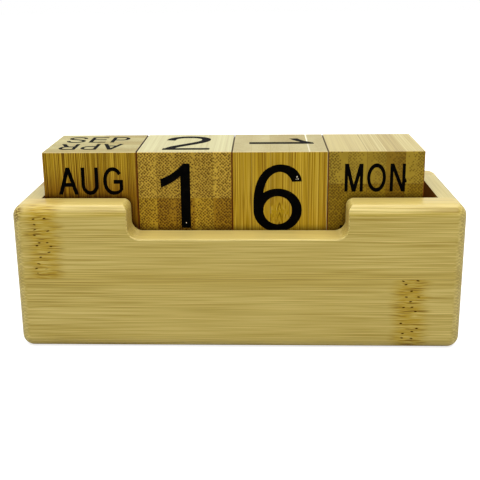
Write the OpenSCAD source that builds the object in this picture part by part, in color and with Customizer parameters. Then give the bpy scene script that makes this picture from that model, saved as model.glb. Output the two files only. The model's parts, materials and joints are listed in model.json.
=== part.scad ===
// Perpetual desk calendar of laminated bamboo: four printed cubes stand in a row in an open tray.
// Millimetres. X runs along the row, the front looks toward -Y, the tray stands on Z = 0.
// The origin is at the middle of the tray's underside.

/* [Cubes] */
// Edge length of each calendar cube
cube_edge = 32; // [24:0.5:45]
// Width of the small chamfer on every cube edge
cube_chamfer = 0.2; // [0.1:0.05:1]
// Glued strips side by side in each layer of a cube
strips_per_layer = 5; // [3:1:7]
// Height of the weekday cube's upper layer, which is thinner than its lower one
weekday_upper_layer = 11.2; // [6:0.2:20]

/* [Room around the cubes] */
// Gap between neighbouring cubes
cube_gap = 0.2; // [0.1:0.05:1]
// Gap between the month cube and the left end board
left_clear = 0.8; // [0.3:0.1:3]
// Finger gap between the weekday cube and the right end board
finger_gap = 4.6; // [4.5:0.1:15]
// Gap between the cubes and the front board
front_clear = 1.4; // [0.3:0.1:3]
// Gap between the cubes and the back board
back_clear = 0.4; // [0.3:0.1:3]
// Gap under the cubes
floor_clear = 0.2; // [0.1:0.05:1]

/* [Tray boards] */
// Height of the tray's walls
tray_h = 50.6; // [46:0.2:62]
// Thickness of the front board
front_t = 10.6; // [8:0.2:16]
// Thickness of the back board
back_t = 10.6; // [8:0.2:16]
// Thickness of the two end boards
end_t = 8; // [7:0.2:14]
// Radius of the tray's outer edges and corners
edge_r = 4; // [1:0.25:6]
// Height of the glue line between the lower and the upper strip of each board
seam_z = 25.3; // [10:0.1:27]

/* [Floor] */
// Height of the floor's top face above the table
floor_top = 34; // [30:0.2:40]
// Thickness of the floor panel
floor_t = 5; // [3:0.2:6]
// How far the floor panel reaches into the grooves of the boards
tongue = 4; // [2:0.2:5]

/* [Notch in the front board] */
// Width of the notch between its upright sides
notch_w = 72.8; // [40:0.2:100]
// Height of the notch's lower edge above the table
notch_floor = 39.2; // [36:0.2:44]
// Radius of the inside corners at the notch's foot
notch_r = 3.8; // [1:0.1:4]
// Radius of the shoulders' outside corners
shoulder_r = 2.6; // [0.5:0.1:4]
// Width of the bevel along the notch's front edge
notch_bevel = 0.3; // [0.2:0.1:1]

/* [Hidden] */
$fn = 96;
// How far a cutting body runs past the face that it cuts
past = 1;

cube_count = 4;
row_w = cube_count * cube_edge + (cube_count - 1) * cube_gap;
cavity_w = left_clear + row_w + finger_gap;
cavity_d = front_clear + cube_edge + back_clear;
tray_w = cavity_w + 2 * end_t;
tray_d = front_t + cavity_d + back_t;
front_y = -tray_d / 2;
back_y = tray_d / 2;
cavity_front_y = front_y + front_t;
cavity_back_y = back_y - back_t;
cubes_x = -cavity_w / 2 + left_clear;
cubes_y = cavity_front_y + front_clear;
cubes_z = floor_top + floor_clear;
strip_t = cube_edge / strips_per_layer;

// How each cube is glued up: the way its strips are counted, the way its two layers are stacked,
// the depth of the first layer, and the layers' names. The fibre runs along the third axis.
X = [1, 0, 0];
Y = [0, 1, 0];
Z = [0, 0, 1];
cube_names = ["month", "tens", "units", "weekday"];
strip_axes = [Y, X, X, X];
layer_axes = [X, Z, Y, Z];
first_layers = [cube_edge / 2, cube_edge / 2, cube_edge / 2, cube_edge - weekday_upper_layer];
layer_names = [["left", "right"], ["lower", "upper"], ["front", "rear"], ["lower", "upper"]];

function strip_name(c, strip, layer) = str(cube_names[c], "_strip_", strip + 1, "_", layer_names[c][layer]);

tray_nodes = [
    "front_board_lower", "front_board_upper",
    "back_board_lower", "back_board_upper",
    "left_end_lower", "left_end_upper",
    "right_end_lower", "right_end_upper",
    "floor_front", "floor_rear"
];
strip_nodes = [
    for (c = [0 : cube_count - 1], strip = [0 : strips_per_layer - 1], layer = [0, 1])
        strip_name(c, strip, layer)
];

board_colour = [0.79, 0.70, 0.42];
floor_colour = [0.72, 0.62, 0.36];
// Pale, golden and brown bamboo, and the tone of each strip by cube, layer and strip
strip_colours = [[0.85, 0.76, 0.52], [0.76, 0.62, 0.36], [0.66, 0.50, 0.28]];
strip_tones = [
    [[2, 1, 1, 0, 1], [2, 1, 2, 1, 2]],
    [[0, 2, 2, 0, 2], [0, 1, 1, 1, 0]],
    [[1, 0, 1, 0, 1], [1, 0, 2, 2, 1]],
    [[1, 1, 1, 2, 1], [0, 0, 1, 2, 0]]
];

// Quarter of a disc, from the x axis to the y axis
module quarter_disc() {
    intersection() {
        circle(edge_r);
        square(edge_r);
    }
}

// Upright section of a board's rounded rim: its straight side on x = 0, its outer face on x = edge_r
module rim_section() {
    translate([0, edge_r]) square([edge_r, tray_h - 2 * edge_r]);
    translate([0, edge_r]) mirror([0, 1]) quarter_disc();
    translate([0, tray_h - edge_r]) quarter_disc();
}

// Upright section of a whole board, rim and all, with its inner face on x = edge_r - thickness
module board_section(thickness) {
    translate([edge_r - thickness, 0]) square([thickness - edge_r, tray_h]);
    rim_section();
}

// Board as long as the tray, outer face on y = 0, with rounded upright ends that show their end grain
module long_board(thickness) {
    half_w = tray_w / 2 - edge_r;
    translate([half_w, edge_r, 0]) rotate([90, 0, -90]) linear_extrude(2 * half_w) board_section(thickness);
    for (side = [0, 1]) mirror([side, 0, 0]) {
        translate([half_w, edge_r, 0]) rotate([0, 0, -90]) rotate_extrude(angle = 90) rim_section();
        translate([half_w, thickness, 0]) rotate([90, 0, 0]) linear_extrude(thickness - edge_r) rim_section();
    }
}

// Short board between the front and the back board, at the right end
module end_board() {
    translate([tray_w / 2 - edge_r, cavity_back_y, 0]) rotate([90, 0, 0])
        linear_extrude(cavity_d) board_section(end_t);
}

// Whole floor panel, with the tongues that sit in the boards' grooves
module floor_panel() {
    translate([-cavity_w / 2 - tongue, cavity_front_y - tongue, floor_top - floor_t])
        cube([cavity_w + 2 * tongue, cavity_d + 2 * tongue, floor_t]);
}

// Foot corner of the notch, which stays as wood inside the opening
module notch_foot() {
    translate([-notch_w / 2, notch_floor]) difference() {
        translate([-past, -past]) square(notch_r + past);
        translate([notch_r, notch_r]) circle(notch_r);
    }
}

// Wood that is rounded off a shoulder beside the notch
module shoulder_cut() {
    translate([-notch_w / 2, tray_h]) difference() {
        translate([-shoulder_r, -shoulder_r]) square(shoulder_r + past);
        translate([-shoulder_r, -shoulder_r]) circle(shoulder_r);
    }
}

// Outline of the notch, seen from the front
module notch_outline() {
    difference() {
        translate([-notch_w / 2, notch_floor]) square([notch_w, tray_h - notch_floor + past]);
        notch_foot();
        mirror([1, 0]) notch_foot();
    }
    shoulder_cut();
    mirror([1, 0]) shoulder_cut();
}

module notch() {
    translate([0, cavity_front_y + past, 0]) rotate([90, 0, 0])
        linear_extrude(front_t + 2 * past) notch_outline();
}

// Section of the bevel, with the edge that it takes off at the origin
module bevel_section() {
    polygon([[-past, -notch_bevel - past], [notch_bevel + past, past], [-past, past]]);
}

// Bevel along the notch's foot, round its two inside corners and up its sides
module front_bevel() {
    corner_x = notch_w / 2 - notch_r;
    corner_z = notch_floor + notch_r;
    inner_r = notch_r / 2;
    outer_r = notch_r + notch_bevel + past;
    translate([0, front_y, notch_floor]) rotate([90, 0, 90])
        linear_extrude(2 * corner_x, center = true) bevel_section();
    for (side = [0, 1]) mirror([side, 0, 0]) {
        translate([-corner_x, front_y - past, corner_z]) rotate([-90, 0, 0])
            cylinder(h = outer_r - inner_r, r1 = outer_r, r2 = inner_r);
        translate([-notch_w / 2, front_y, tray_h]) rotate([180, 0, 90])
            linear_extrude(tray_h - corner_z) bevel_section();
    }
}

module front_board() {
    difference() {
        translate([0, front_y, 0]) long_board(front_t);
        notch();
        front_bevel();
        floor_panel();
    }
}

module back_board() {
    difference() {
        translate([0, back_y, 0]) rotate([0, 0, 180]) long_board(back_t);
        floor_panel();
    }
}

module right_end() {
    difference() {
        end_board();
        floor_panel();
    }
}

module left_end() {
    difference() {
        mirror([1, 0, 0]) end_board();
        floor_panel();
    }
}

// Strip of a board between two heights
module strip_between(low, high) {
    intersection() {
        children();
        translate([-tray_w / 2 - past, front_y - past, low])
            cube([tray_w + 2 * past, tray_d + 2 * past, high - low]);
    }
}

module lower_strip() {
    color(board_colour) strip_between(-past, seam_z) children();
}

module upper_strip() {
    color(board_colour) strip_between(seam_z, tray_h + past) children();
}

// Half of the floor panel, split along the middle of its depth
module floor_strip(from_y, to_y) {
    color(floor_colour) intersection() {
        floor_panel();
        translate([-tray_w / 2, from_y, 0]) cube([tray_w, to_y - from_y, floor_top]);
    }
}

module floor_front() {
    floor_strip(front_y, (cavity_front_y + cavity_back_y) / 2);
}

module floor_rear() {
    floor_strip((cavity_front_y + cavity_back_y) / 2, back_y);
}

// Prism of a square with chamfered corners, standing on the origin
module chamfered_prism() {
    low = cube_chamfer;
    high = cube_edge - cube_chamfer;
    linear_extrude(cube_edge) polygon([
        [low, 0], [high, 0], [cube_edge, low], [cube_edge, high],
        [high, cube_edge], [low, cube_edge], [0, high], [0, low]
    ]);
}

// Whole cube with every edge chamfered
module cube_envelope() {
    intersection() {
        chamfered_prism();
        translate([0, cube_edge, 0]) rotate([90, 0, 0]) chamfered_prism();
        rotate([90, 0, 90]) chamfered_prism();
    }
}

// One glued strip of one cube
module cube_strip(c, strip, layer) {
    across = strip_axes[c];
    stack = layer_axes[c];
    fibre = [1, 1, 1] - across - stack;
    layer_from = layer == 0 ? 0 : first_layers[c];
    layer_t = layer == 0 ? first_layers[c] : cube_edge - first_layers[c];
    layer_tones = strip_tones[c][layer];
    tone = layer_tones[strip % len(layer_tones)];
    color(strip_colours[tone])
        translate([cubes_x + c * (cube_edge + cube_gap), cubes_y, cubes_z])
            intersection() {
                cube_envelope();
                translate(across * strip * strip_t + stack * layer_from)
                    cube(across * strip_t + stack * layer_t + fibre * cube_edge);
            }
}

lower_strip() front_board();  // front_board_lower
upper_strip() front_board();  // front_board_upper
lower_strip() back_board();  // back_board_lower
upper_strip() back_board();  // back_board_upper
lower_strip() left_end();  // left_end_lower
upper_strip() left_end();  // left_end_upper
lower_strip() right_end();  // right_end_lower
upper_strip() right_end();  // right_end_upper
floor_front();
floor_rear();
for (c = [0 : cube_count - 1], strip = [0 : strips_per_layer - 1], layer = [0, 1])
    cube_strip(c, strip, layer);
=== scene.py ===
"""Looks of the bamboo desk calendar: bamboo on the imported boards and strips, and the print on the cubes."""

import json
import math
from itertools import product

import bmesh
import bpy
from mathutils import Matrix, Vector
from mathutils.geometry import delaunay_2d_cdt


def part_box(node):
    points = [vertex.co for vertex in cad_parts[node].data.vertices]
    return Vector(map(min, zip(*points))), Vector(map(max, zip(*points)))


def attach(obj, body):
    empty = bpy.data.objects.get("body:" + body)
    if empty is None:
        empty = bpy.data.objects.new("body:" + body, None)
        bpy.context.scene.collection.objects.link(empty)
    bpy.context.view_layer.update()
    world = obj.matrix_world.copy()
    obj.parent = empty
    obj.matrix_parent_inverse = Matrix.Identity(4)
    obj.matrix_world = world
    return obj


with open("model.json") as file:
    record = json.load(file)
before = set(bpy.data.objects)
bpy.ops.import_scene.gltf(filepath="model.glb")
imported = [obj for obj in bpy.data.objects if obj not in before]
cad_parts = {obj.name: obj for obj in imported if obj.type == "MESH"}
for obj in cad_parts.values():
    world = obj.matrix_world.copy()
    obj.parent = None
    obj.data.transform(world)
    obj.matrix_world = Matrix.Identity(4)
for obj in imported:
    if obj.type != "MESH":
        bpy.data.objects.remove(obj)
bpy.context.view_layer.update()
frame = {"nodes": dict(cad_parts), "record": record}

MM = 0.001
X = Vector((1, 0, 0))
Y = Vector((0, 1, 0))
Z = Vector((0, 0, 1))
# A length beyond every piece, in millimetres
FAR = 1000.0
NOWHERE = (FAR, FAR, FAR)


# Helpers for shader trees

class Shader:
    """Adds nodes to a tree. An input may be a number, a tuple or another node's output."""

    def __init__(self, tree):
        self.tree = tree

    def add(self, kind, inputs=None, **settings):
        """Adds one node and gives its outputs."""
        node = self.tree.nodes.new(kind)
        for name, value in settings.items():
            setattr(node, name, value)
        for key, value in (inputs or {}).items():
            if isinstance(value, bpy.types.NodeSocket):
                self.tree.links.new(value, node.inputs[key])
            else:
                node.inputs[key].default_value = value
        return node.outputs

    def math(self, operation, *values):
        return self.add("ShaderNodeMath", dict(enumerate(values)), operation=operation)[0]

    def fold(self, operation, first, *others):
        for other in others:
            first = self.math(operation, first, other)
        return first

    def total(self, *values):
        return self.fold("ADD", *values)

    def times(self, *values):
        return self.fold("MULTIPLY", *values)

    def size(self, value):
        return self.math("ABSOLUTE", value)

    def invert(self, value):
        return self.math("SUBTRACT", 1.0, value)

    def scaled(self, value, factor, offset):
        return self.math("MULTIPLY_ADD", value, factor, offset)

    def vector(self, *values):
        return self.add("ShaderNodeCombineXYZ", dict(enumerate(values)))[0]

    def vectors(self, operation, *values):
        return self.add("ShaderNodeVectorMath", dict(enumerate(values)), operation=operation)

    def vector_math(self, operation, *values):
        return self.vectors(operation, *values)["Vector"]

    def measure(self, operation, *values):
        """A number from vectors, such as their dot product or their distance."""
        return self.vectors(operation, *values)["Value"]

    def dot(self, a, b):
        return self.measure("DOT_PRODUCT", a, b)

    def parts(self, vector):
        """The three numbers of a vector."""
        return self.add("ShaderNodeSeparateXYZ", {0: vector})

    def place(self):
        """Place on the part at rest, in millimetres."""
        inputs = {0: self.add("ShaderNodeTexCoord")["Object"], "Scale": 1 / MM}
        return self.add("ShaderNodeVectorMath", inputs, operation="SCALE")["Vector"]

    def ramp(self, value, none, full, kind="LINEAR"):
        """0 where the value is none, 1 where it is full, straight in between and level beyond."""
        inputs = {"Value": value, "From Min": none, "From Max": full}
        return self.add("ShaderNodeMapRange", inputs, interpolation_type=kind)["Result"]

    def rise(self, value, none, full):
        """A ramp that is smooth in between."""
        return self.ramp(value, none, full, "SMOOTHSTEP")

    def mix(self, share, a, b):
        return self.add("ShaderNodeMix", {0: share, 6: a, 7: b}, data_type="RGBA")[2]

    def tint(self, share, colour, by):
        """The colour, multiplied by another one to the given share."""
        return self.mix(share, colour, self.vector_math("MULTIPLY", colour, by))

    def noise(self, vector, detail=2.0, pitch=1.0):
        inputs = {"Vector": vector, "Scale": 1 / pitch, "Detail": detail}
        return self.add("ShaderNodeTexNoise", inputs)["Fac"]

    def grain(self, place, pitch_along, pitch, detail=1.0):
        """Noise about zero, drawn out along the fibre, which is the place's first axis."""
        place = self.vector_math("DIVIDE", place, (pitch_along, pitch, pitch))
        return self.math("SUBTRACT", self.noise(place, detail), 0.5)

    def cells(self, vector, randomness):
        """Distance to the nearest of a field of scattered points, and that point's three random numbers."""
        inputs = {"Vector": vector, "Scale": 1.0, "Randomness": randomness}
        field = self.add("ShaderNodeTexVoronoi", inputs, voronoi_dimensions="2D")
        return field["Distance"], self.add("ShaderNodeSeparateColor", {0: field["Color"]})

    def open_sky(self, reach, samples=8):
        """How little stands within a reach in millimetres: 1 in the open, towards 0 in a narrow gap."""
        return self.add("ShaderNodeAmbientOcclusion", {"Distance": reach * MM}, samples=samples)["AO"]

    def principled(self, inputs):
        """Ends a material with one Principled surface."""
        surface = self.add("ShaderNodeBsdfPrincipled", inputs)[0]
        self.add("ShaderNodeOutputMaterial", {"Surface": surface})


def rgba(colour):
    return (*colour, 1.0)


# Bamboo: one group for every board and strip, with lengths in millimetres and linear colours

# Inputs of the group. The numbers have plain values, which a piece's own settings replace.
BAMBOO_VECTORS = ("Fibre", "Across", "Depth", "Seam Low", "Seam High", "Inside", "Frayed At", "Flame At")
BAMBOO_COLOURS = ("Light", "Ground", "Dark", "End", "Bundle", "Glue", "Upright Tint")
BAMBOO_NUMBERS = {
    "Seed": 0.0, "Skin At": 0.0, "Skin Reach": 1.0, "Pitch": 0.78, "Dots": 1.0,
    "Run": 70.0, "Fineness": 1.0, "Streaks": 1.0, "Rim Streaks": 0.0, "End Streaks": 0.0, "Lines": 0.0,
    "Joint At": FAR, "Joint Span": 5.0, "Joint Sway": 0.45,
    "Seams": 1.0, "Wide Glue": 0.0, "Stain": 0.0,
    "Rubbed Top": 0.0, "Dark Foot": 0.0, "Grime": 0.0, "Worn Edges": 0.0, "Upright Edges": 0.0,
}
BAMBOO_OUTPUTS = {"Color": "Color", "Roughness": "Float", "Shine": "Float", "Normal": "Vector"}

GLUE = (0.125, 0.06, 0.008)
FAINT_GLUE = (0.36, 0.29, 0.11)
PALE_GLUE = (0.95, 0.92, 0.74)
# Painted highlight on the level chamfers, the pale strip's upright chamfers and the front board's top
PALE_HIGHLIGHT = (0.80, 0.66, 0.33)
# Painted shade on the upright chamfers between the cubes
EDGE_SHADE = (0.24, 0.055, 0.004)
JOINT_BROWN = (0.46, 0.29, 0.008)
JOINT_DARK = (0.19, 0.10, 0.001)
JOINT_PALE = (0.74, 0.60, 0.17)
PIT = (0.06, 0.016, 0.0)
# Painted shade in narrow gaps and on the chamfers beside the next cube
CREVICE_SHADE = (0.034, 0.006, 0.0005)
# Painted shade on the tray's inner faces, most where a cube stands close
INSIDE_SHADE = (0.27, 0.08, 0.001)
# Shares of the wood's colour that are left where glue stained it, and in the painted shade at a strip's foot
GLUE_STAIN = (0.90, 0.87, 0.66)
FOOT_SHADE = (0.62, 0.48, 0.25)

# Shifts of the textures along the fibre, across and in depth, for each unit of a piece's seed
SEED_SHIFTS = (31.7, 17.3, 11.9)
# Spans run from the value at which a trait is absent to the one at which it is full.
# Cosines at which a face looks along an axis
END_FACING = (0.12, 0.5)
FLAT_FACING = (0.35, 0.85)
RAW_FACING = (0.7, 0.9)
TOP_LIGHT_FACING = (0.75, 0.97)
TILT_FACING = (0.2, 0.4)
# Cosines to the nearest axis at which a face is a rim or a chamfer
RIM_FACING = (0.99, 0.80)
CHAMFER_FACING = (0.95, 0.75)

# Noise pitches are along the fibre, across it, and a detail. Streaks and lines count the first in runs.
STREAK_PITCHES = ((1.0, 0.4), (2.0, 1.1, 2.0), (3.0, 5.0))
STREAK_STRENGTHS = (2.3, 0.3, 0.45)
LINE_PITCH = (1.3, 0.5)
LINE_SHIFT = (0.0, 40.0, 0.0)
LINE_SPAN = (0.08, 0.20)
# Distances from the tray's middle between which the streaks at a board's ends come in
END_STRETCH = (25.0, 55.0)

# Joint of the cane: how far its sides are ragged, how far the fibres drift, and where its band fades
RAGGED_PITCH = (FAR, 2.2)
RAGGED_REACH = 5.0
DRIFT_PITCH = (60.0, 12.0)
DRIFT_REACH = 0.8
WAVER_PITCH = (3.5, 2.6)
SWAY_IN_DEPTH = 0.6
BAND_FADE = (1.0, 0.25)
# Dashes in the band: colour, span of their noise, strength there, strength all over
DASH_PITCH = (7.0, 0.38)
DASHES = (
    (JOINT_BROWN, (-0.1, 0.05), 0.55, 0.35),
    (JOINT_DARK, (0.08, 0.15), 0.85, 0.0),
    (JOINT_PALE, (-0.10, -0.24), 0.6, 0.0),
)
# Pits in the band: spacing, scatter, rim in shares of the spacing, half width of their columns, chance
PIT_SPACING = (4.0, 1.9, 1.0)
PIT_SCATTER = 0.6
PIT_RIM = (0.15, 0.09)
PIT_COLUMNS = (3.6, 3.2)
PIT_CHANCE = (0.3, 0.35)

# Bundle dots: scatter, rim in shares of the pitch, crowding and swelling at the skin, uneven strength
DOT_SCATTER = 0.4
DOT_RIM = (0.42, 0.28)
DOT_CROWDING = 1.4
DOT_PRESENCE = (-0.08, 0.08)
DOT_SWELLING = 0.06
DOT_STRENGTH = (0.3, 0.7)
CLOUD_PITCH = (40.0, 3.0, 2.0)
CLOUD_STRENGTH = (0.4, 0.1)
FRAYED_REACH = (4.0, 2.0)
FRAYED_STRENGTH = 0.8

# Flame figure: drop from arch to arch, breadth, and in arches its line, its top and its foot
FLAME_DROP = 3.4
FLAME_BREADTH = 0.85
FLAME_LINE = (0.24, 0.06)
FLAME_TOP = (-0.3, -0.1)
FLAME_FOOT = (2.6, 2.0)
FLAME_WAVER = 0.5
FLAME_STRENGTH = 0.9

# Glue lines: patches per millimetre, noise span of a patch, uneven strength, distances from the seam
GLUE_PATCHES = 0.03
PATCH_SPAN = (0.35, 0.6)
GLUE_STRENGTH = (0.5, 0.3)
SEAM_CORE = 0.02
SEAM_REACH = 0.17
STAIN_REACH = (4.5, 1.0)

# Heights of the painted shade at a strip's foot, and how the painted shade inside the tray and in narrow gaps
# follows what stands close
FOOT_SHADE_SPAN = (63.0, 50.0)
INSIDE_SHADE_REACH = 12.0
INSIDE_SHADE_SPAN = (0.8, 0.35)
INSIDE_SHADE_STRENGTH = (0.75, 0.2)
GAP_SHADE_REACH = 3.0
GAP_SHADE_SPAN = (0.88, 0.5)

# Satin lacquer: its roughness and what adds to it, what takes the shine off, and the relief of the bump
LACQUER_ROUGHNESS = 0.36
ROUGHENING = {"fine": 0.25, "end": 0.10, "pit": 0.6, "raw": 0.6}
DULLING = {"joint": 0.5, "raw": 0.8, "pit": 0.95}
RELIEF = {"fine": 0.6, "middling": 0.3, "bundle": -0.6, "seam": -0.8, "pit": -1.5}
RELIEF_HEIGHT = 0.05
RELIEF_STRENGTH = 0.35


def bamboo_group():
    """Bamboo in millimetres: streaks along the fibre, bundle dots on the end grain, glue lines and joints."""
    tree = bpy.data.node_groups.new("bamboo", "ShaderNodeTree")
    for kind, names in (("Vector", BAMBOO_VECTORS), ("Float", BAMBOO_NUMBERS), ("Color", BAMBOO_COLOURS)):
        for name in names:
            tree.interface.new_socket(name, in_out="INPUT", socket_type="NodeSocket" + kind)
    for name, kind in BAMBOO_OUTPUTS.items():
        tree.interface.new_socket(name, in_out="OUTPUT", socket_type="NodeSocket" + kind)
    s = Shader(tree)
    given = s.add("NodeGroupInput")
    place = s.place()
    facing = s.add("ShaderNodeTexCoord")["Normal"]

    # Place along the fibre, across the strip and through its thickness, shifted by the seed for the textures
    along, across, depth = (s.dot(place, given[name]) for name in ("Fibre", "Across", "Depth"))
    u, v, w = map(s.scaled, [given["Seed"]] * 3, SEED_SHIFTS, (along, across, depth))
    end_face = s.rise(s.size(s.dot(facing, given["Fibre"])), *END_FACING)
    flat_face = s.rise(s.size(s.dot(facing, given["Depth"])), *FLAT_FACING)
    facets = s.parts(s.vector_math("ABSOLUTE", facing))
    squarest = s.fold("MAXIMUM", *facets)

    # Joint of the cane: a band with ragged sides in which the fibres waver
    still = s.vector(u, v, w)
    ragged = s.times(s.grain(still, *RAGGED_PITCH), RAGGED_REACH)
    from_joint = s.total(s.math("SUBTRACT", along, given["Joint At"]), ragged)
    band = s.rise(s.math("DIVIDE", s.size(from_joint), given["Joint Span"]), *BAND_FADE)
    waver = s.times(s.grain(still, *WAVER_PITCH), band, given["Joint Sway"])
    sway = s.scaled(s.grain(still, *DRIFT_PITCH), DRIFT_REACH, waver)
    v = s.total(v, sway)
    w = s.scaled(sway, SWAY_IN_DEPTH, w)
    swayed = s.vector(u, v, w)

    # Streaks of three widths, stronger towards a board's ends and on a round rim
    run = s.math("DIVIDE", u, given["Run"])
    drawn = s.vector(run, s.times(v, given["Fineness"]), s.times(w, given["Fineness"]))
    streaks = [s.grain(drawn, *pitch) for pitch in STREAK_PITCHES]
    shade = s.total(*map(s.times, streaks, STREAK_STRENGTHS))
    rim = s.times(s.rise(squarest, *RIM_FACING), given["Rim Streaks"])
    ends = s.times(s.rise(s.size(along), *END_STRETCH), given["End Streaks"])
    shade = s.scaled(shade, s.total(given["Streaks"], rim, ends), 0.5)
    long_grain = s.mix(s.ramp(shade, 0.0, 0.5), given["Dark"], given["Ground"])
    long_grain = s.mix(s.ramp(shade, 0.5, 1.0), long_grain, given["Light"])
    line = s.ramp(s.grain(s.vector_math("ADD", drawn, LINE_SHIFT), *LINE_PITCH), *LINE_SPAN)
    long_grain = s.mix(s.times(line, given["Lines"]), long_grain, given["Dark"])

    # End grain: vascular bundles in slanting rows, as dots that thin out away from the skin
    slant = s.times(given["Pitch"], math.sqrt(2))
    row = s.math("DIVIDE", s.math("ADD", v, w), slant)
    column = s.math("DIVIDE", s.math("SUBTRACT", v, w), slant)
    near, chance = s.cells(s.vector(row, column), DOT_SCATTER)
    from_skin = s.math("DIVIDE", s.size(s.math("SUBTRACT", depth, given["Skin At"])), given["Skin Reach"])
    crowd = s.times(s.rise(from_skin, 1.0, 0.0), DOT_CROWDING)
    present = s.ramp(s.math("SUBTRACT", crowd, chance[1]), *DOT_PRESENCE)
    near = s.scaled(crowd, -DOT_SWELLING, near)
    dot = s.times(s.ramp(near, *DOT_RIM), s.scaled(chance[0], *DOT_STRENGTH))
    bundle = s.times(dot, present, given["Dots"])
    cloudy = s.scaled(s.grain(swayed, *CLOUD_PITCH), *CLOUD_STRENGTH)
    end_grain = s.mix(cloudy, given["End"], given["Bundle"])
    end_grain = s.mix(bundle, end_grain, given["Bundle"])
    colour = s.mix(end_face, long_grain, end_grain)
    frayed = s.rise(s.measure("DISTANCE", place, given["Frayed At"]), *FRAYED_REACH)
    colour = s.mix(s.times(frayed, dot, FRAYED_STRENGTH), colour, rgba(JOINT_DARK))

    # Joint of the cane: a brown band with dark and pale dashes, and pits in two uneven columns
    on_side = s.times(band, s.invert(end_face))
    dash = s.grain(swayed, *DASH_PITCH)
    for tone, span, strength, all_over in DASHES:
        share = s.times(s.scaled(s.ramp(dash, *span), strength, all_over), on_side)
        colour = s.mix(share, colour, rgba(tone))
    pit_place = s.vector_math("DIVIDE", s.vector(from_joint, across), PIT_SPACING)
    spot, chance = s.cells(pit_place, PIT_SCATTER)
    columns = s.rise(s.size(from_joint), *PIT_COLUMNS)
    kept = s.ramp(chance[0], *PIT_CHANCE)
    pit = s.times(s.ramp(spot, *PIT_RIM), columns, kept, flat_face)
    colour = s.mix(pit, colour, rgba(PIT))

    # Flame figure: arches of dark lines where the cut runs out of a layer
    from_apex = s.vector_math("SUBTRACT", place, given["Flame At"])
    below = s.math("DIVIDE", s.dot(from_apex, given["Fibre"]), -FLAME_DROP)
    beside = s.scaled(sway, FLAME_WAVER, s.dot(from_apex, given["Depth"]))
    beside = s.math("DIVIDE", beside, FLAME_BREADTH)
    layer = s.math("SUBTRACT", below, s.times(beside, beside))
    arch = s.ramp(s.math("PINGPONG", layer, 0.5), *FLAME_LINE)
    flame = s.times(s.rise(layer, *FLAME_TOP), s.rise(below, *FLAME_FOOT))
    colour = s.mix(s.times(arch, flame, FLAME_STRENGTH), colour, rgba(JOINT_DARK))

    # Glue lines where a strip meets its neighbours, and the wood that the glue stained
    inside = s.vector(along, across, depth)
    from_low = s.vector_math("SUBTRACT", inside, given["Seam Low"])
    from_high = s.vector_math("SUBTRACT", given["Seam High"], inside)
    nearest = s.parts(s.vector_math("MINIMUM", from_low, from_high))
    glue = s.rise(s.noise(s.vector(s.times(u, GLUE_PATCHES), 0.0, given["Seed"])), *PATCH_SPAN)
    reach = s.scaled(end_face, given["Wide Glue"], SEAM_REACH)
    seam = s.rise(s.fold("MINIMUM", *nearest), reach, SEAM_CORE)
    seam = s.times(seam, s.scaled(glue, *GLUE_STRENGTH), given["Seams"])
    stain = s.times(s.rise(nearest[1], *STAIN_REACH), given["Stain"])
    colour = s.tint(stain, colour, GLUE_STAIN)
    colour = s.mix(seam, colour, s.mix(end_face, rgba(GLUE), given["Glue"]))

    # Inner faces of the tray, left raw, and darkened with painted shade, most where a cube stands close
    raw = s.rise(s.dot(facing, given["Inside"]), *RAW_FACING)
    sheltered = s.ramp(s.open_sky(INSIDE_SHADE_REACH), *INSIDE_SHADE_SPAN)
    inside_shade_share = s.scaled(sheltered, *INSIDE_SHADE_STRENGTH)
    colour = s.mix(s.times(raw, inside_shade_share), colour, rgba(INSIDE_SHADE))

    # Top of the front board, painted pale as light that falls on it from above
    top_lit = s.rise(s.parts(facing)[2], *TOP_LIGHT_FACING)
    colour = s.mix(s.times(top_lit, given["Rubbed Top"]), colour, rgba(PALE_HIGHLIGHT))

    # Painted shade: strips darken towards their foot
    foot = s.times(s.rise(along, *FOOT_SHADE_SPAN), given["Dark Foot"])
    colour = s.tint(foot, colour, FOOT_SHADE)

    # Painted shade where a face runs down into a narrow gap
    narrow = s.ramp(s.open_sky(GAP_SHADE_REACH), *GAP_SHADE_SPAN)
    colour = s.mix(s.times(narrow, given["Grime"]), colour, rgba(CREVICE_SHADE))

    # Chamfers: painted highlights on the level ones at the front and back, painted shade on those beside the
    # next cube, and the upright ones tinted with painted shade or a painted highlight
    chamfer = s.rise(squarest, *CHAMFER_FACING)
    upright = s.invert(s.rise(facets[2], *TILT_FACING))
    sideways = s.rise(facets[0], *TILT_FACING)
    level = s.times(chamfer, s.invert(upright))
    colour = s.mix(s.times(level, s.invert(sideways), given["Worn Edges"]), colour, rgba(PALE_HIGHLIGHT))
    colour = s.mix(s.times(level, sideways, given["Grime"]), colour, rgba(CREVICE_SHADE))
    colour = s.mix(s.times(chamfer, upright, given["Upright Edges"]), colour, given["Upright Tint"])

    # Satin lacquer on all but the raw faces, with the fibres just standing out
    traits = {
        "fine": streaks[0],
        "middling": streaks[1],
        "end": end_face,
        "bundle": s.times(bundle, end_face),
        "joint": on_side,
        "pit": pit,
        "seam": seam,
        "raw": raw,
    }

    def weighed(weights):
        return [s.times(traits[name], weight) for name, weight in weights.items()]

    bump = s.add("ShaderNodeBump", {
        "Strength": RELIEF_STRENGTH,
        "Distance": RELIEF_HEIGHT * MM,
        "Height": s.total(*weighed(RELIEF)),
    })
    s.add("NodeGroupOutput", {
        "Color": colour,
        "Roughness": s.total(*weighed(ROUGHENING), LACQUER_ROUGHNESS),
        "Shine": s.invert(s.fold("MAXIMUM", *weighed(DULLING))),
        "Normal": bump[0],
    })
    return tree


def new_object(name, data):
    thing = bpy.data.objects.new(name, data)
    bpy.context.scene.collection.objects.link(thing)
    return thing


def new_material(name):
    material = bpy.data.materials.new(name)
    material.use_nodes = True
    material.node_tree.nodes.clear()
    return material, Shader(material.node_tree)


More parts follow.
